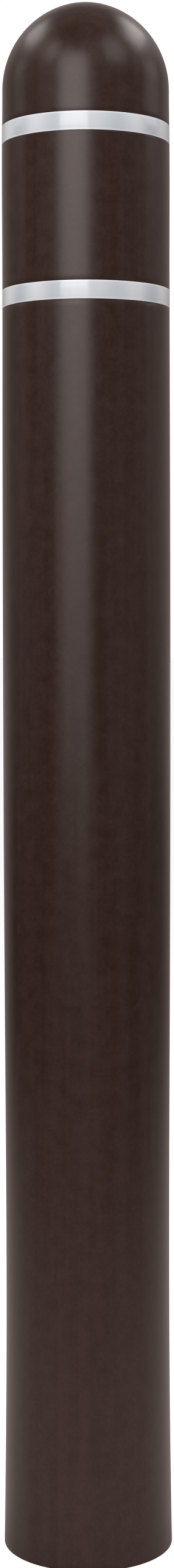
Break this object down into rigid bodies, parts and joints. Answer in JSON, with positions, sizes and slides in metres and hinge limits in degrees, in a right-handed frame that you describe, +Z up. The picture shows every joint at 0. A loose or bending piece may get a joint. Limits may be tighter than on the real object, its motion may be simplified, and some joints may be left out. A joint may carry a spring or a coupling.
{
  "type": "bollard cover sleeve",
  "caption": "Tall round plastic sleeve with a closed domed top and an open flared mouth, wrapped with reflective bands, that slips over a steel pipe bollard and grips it on inside foam hoops.",
  "frame": {"origin": "centre of the open mouth, in the plane of the rim that the sleeve rests on", "axes": "+Z up along the sleeve's axis towards the dome; +Y points to the back, where the tape and foam ends meet"},
  "size_m": [0.1852, 0.1852, 1.6665],
  "materials": {
    "brown_polyethylene": "satin",
    "reflective_tape": "gloss",
    "closed_cell_foam": "matte"
  },
  "bodies": {
    "root": {"sleeve": "brown_polyethylene", "upper_reflective_band": "reflective_tape", "lower_reflective_band": "reflective_tape", "bottom_foam_hoop": "closed_cell_foam", "middle_foam_hoop": "closed_cell_foam", "top_foam_hoop": "closed_cell_foam"}
  },
  "joints": []
}
